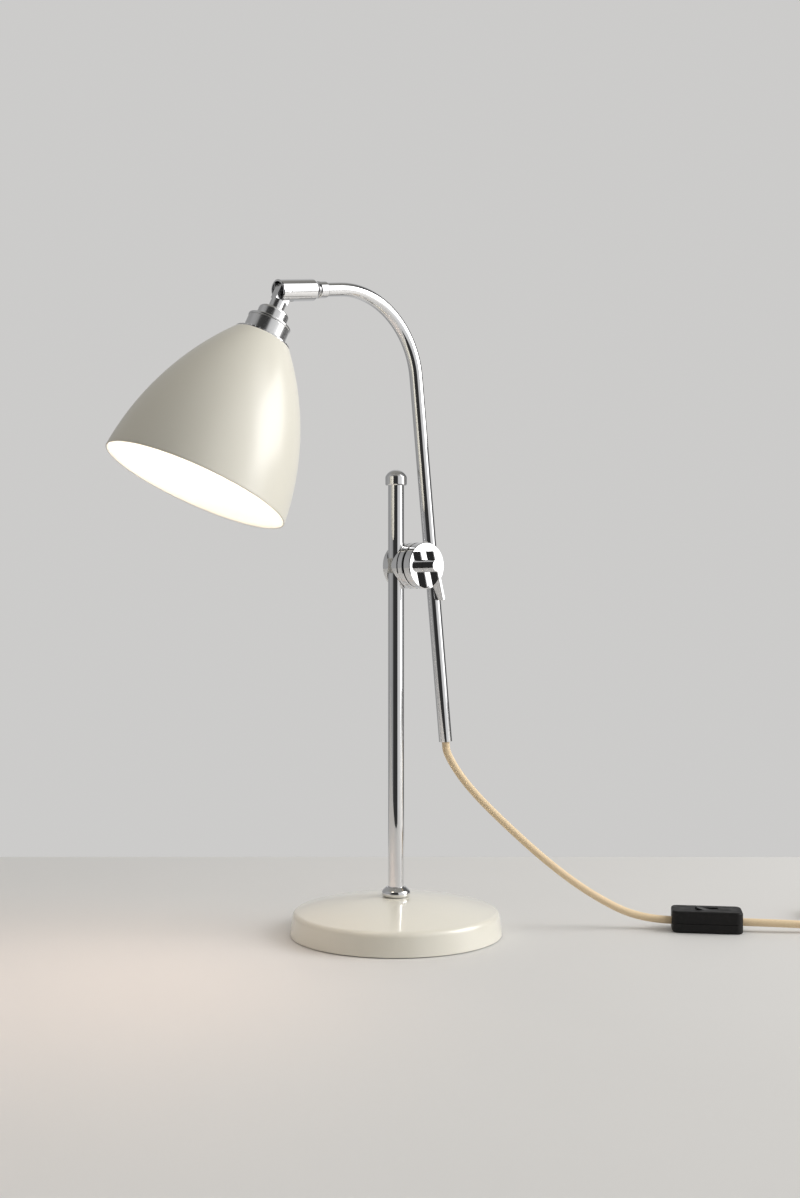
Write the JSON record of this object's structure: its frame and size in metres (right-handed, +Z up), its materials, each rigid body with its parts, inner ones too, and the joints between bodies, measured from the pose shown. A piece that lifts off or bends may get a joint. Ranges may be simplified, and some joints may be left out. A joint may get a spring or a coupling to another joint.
{
  "type": "task lamp",
  "caption": "Table task lamp: cream bell shade on a bent chrome arm, held by a lever clamp on a post with a weighted round base, and a textile flex with in-line switch.",
  "frame": {"origin": "centre of the base's underside, on the post's axis", "axes": "+Z up the post, the arm reaches towards -X, the clamp lever faces -Y"},
  "size_m": [0.6652, 0.3333, 0.476],
  "materials": {
    "cream_paint": "satin",
    "iron": "rough",
    "pad_rubber": "matt",
    "chrome": "polished",
    "steel": "brushed",
    "bush_plastic": "matt",
    "black_plastic": "satin",
    "white_plastic": "glossy",
    "bulb_metal": "satin",
    "bulb_glass": "opal",
    "flex_textile": "braided",
    "flex_core": "matt",
    "pin_brass": "satin"
  },
  "bodies": {
    "base": {"base_cover": "cream_paint", "base_weight": "iron", "base_pad": "pad_rubber", "post": "chrome", "post_collar": "chrome", "post_cap": "chrome", "post_washer": "steel", "post_nut": "steel", "cord_to_switch": "flex_textile", "cord_to_coil": "flex_textile", "cord_coil": "flex_textile", "coil_tie": "black_plastic", "plug_body": "black_plastic", "plug_relief": "black_plastic", "plug_pins": "pin_brass", "switch_base": "black_plastic", "switch_top": "black_plastic", "switch_screws": "steel", "rocker_pin": "steel"},
    "clamp_carrier": {"post_bush": "bush_plastic"},
    "post_clamp": {"post_jaw_rear": "chrome", "post_jaw_front": "chrome", "clamp_bolt": "steel", "swivel_washer": "steel"},
    "arm_clamp": {"arm_jaw_rear": "chrome", "arm_jaw_front": "chrome"},
    "lever": {"clamp_lever": "chrome"},
    "arm_carrier": {"cord_bush": "black_plastic"},
    "arm": {"arm_tube": "chrome", "arm_ferrule": "chrome", "sleeve_clip": "steel", "arm_flex": "flex_core"},
    "knuckle": {"knuckle_sleeve": "chrome", "knuckle_pin": "steel"},
    "head": {"stem": "chrome", "holder_cap": "chrome", "holder_body": "chrome", "shade_ring": "chrome", "shade": "cream_paint", "lamp_socket": "white_plastic", "socket_ring": "white_plastic", "bulb_cap": "bulb_metal", "bulb_glass": "bulb_glass"},
    "rocker": {"switch_rocker": "black_plastic"}
  },
  "joints": [
    {"name": "clamp_height", "type": "slide", "parent": "base", "child": "clamp_carrier", "axis": [0, 0, 1], "range_m": [-0.045, 0.035], "deforming": ["cord_to_switch"]},
    {"name": "clamp_swivel", "type": "hinge", "parent": "clamp_carrier", "child": "post_clamp", "pos_m": [0, 0, 0.2748], "axis": [0, 0, 1], "range_deg": [-45, 45], "deforming": ["cord_to_switch"]},
    {"name": "arm_tilt", "type": "hinge", "parent": "post_clamp", "child": "arm_clamp", "pos_m": [0.011, 0, 0.2748], "axis": [0, 1, 0], "range_deg": [-15, 10], "deforming": ["cord_to_switch"]},
    {"name": "lever_turn", "type": "hinge", "parent": "post_clamp", "child": "lever", "pos_m": [0.011, 0, 0.2748], "axis": [0, -1, 0], "range_deg": [0, 110]},
    {"name": "arm_slide", "type": "slide", "parent": "arm_clamp", "child": "arm_carrier", "axis": [-0.1089, 0, 0.9941], "range_m": [-0.02, 0.03], "deforming": ["cord_to_switch"]},
    {"name": "arm_roll", "type": "hinge", "parent": "arm_carrier", "child": "arm", "pos_m": [0.02233, -0.0145, 0.27604], "axis": [-0.1089, 0, 0.9941], "range_deg": [-60, 60]},
    {"name": "shade_turn", "type": "hinge", "parent": "arm", "child": "knuckle", "pos_m": [-0.11471, -0.0145, 0.46277], "axis": [-0.9888, 0, -0.1495], "range_deg": [-60, 60]},
    {"name": "shade_tilt", "type": "hinge", "parent": "knuckle", "child": "head", "pos_m": [-0.11471, -0.0145, 0.46277], "axis": [-0.0189, 0.992, 0.125], "range_deg": [-20, 45]},
    {"name": "switch_rocker", "type": "hinge", "parent": "base", "child": "rocker", "pos_m": [0.1837, -0.1459, 0.013], "axis": [-0.7547, -0.6561, 0], "range_deg": [0, 16]}
  ]
}
